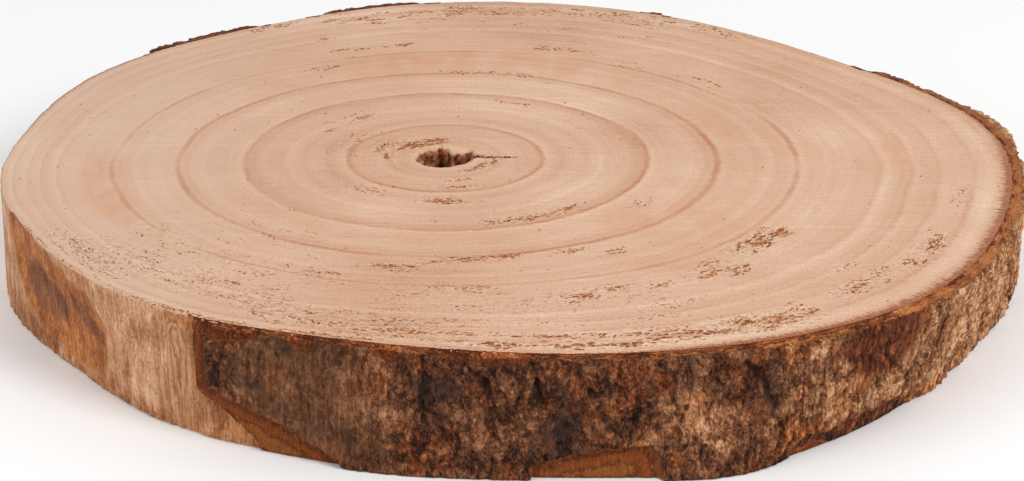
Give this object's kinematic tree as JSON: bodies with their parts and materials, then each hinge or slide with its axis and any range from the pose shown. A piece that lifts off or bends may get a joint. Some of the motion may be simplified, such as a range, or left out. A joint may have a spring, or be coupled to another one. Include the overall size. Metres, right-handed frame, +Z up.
{
  "type": "wood slice",
  "caption": "Round slice sawn across a tree trunk, with growth rings, a hollow pith and rough bark round its edge, used as a stand or a craft base.",
  "frame": {"origin": "under the middle of the slice's bounding box, on the plane that it rests on", "axes": "+Z up through the thickness, +X to the right and +Y away from the viewer in the picture's view"},
  "size_m": [0.2509, 0.2572, 0.028],
  "materials": {
    "wood": "raw sawn end grain, matte, pinkish tan with darker rings",
    "bark": "rough bark, matte, mottled dark brown, grey and rust"
  },
  "bodies": {
    "root": {"wood_slice": "wood"}
  },
  "joints": []
}
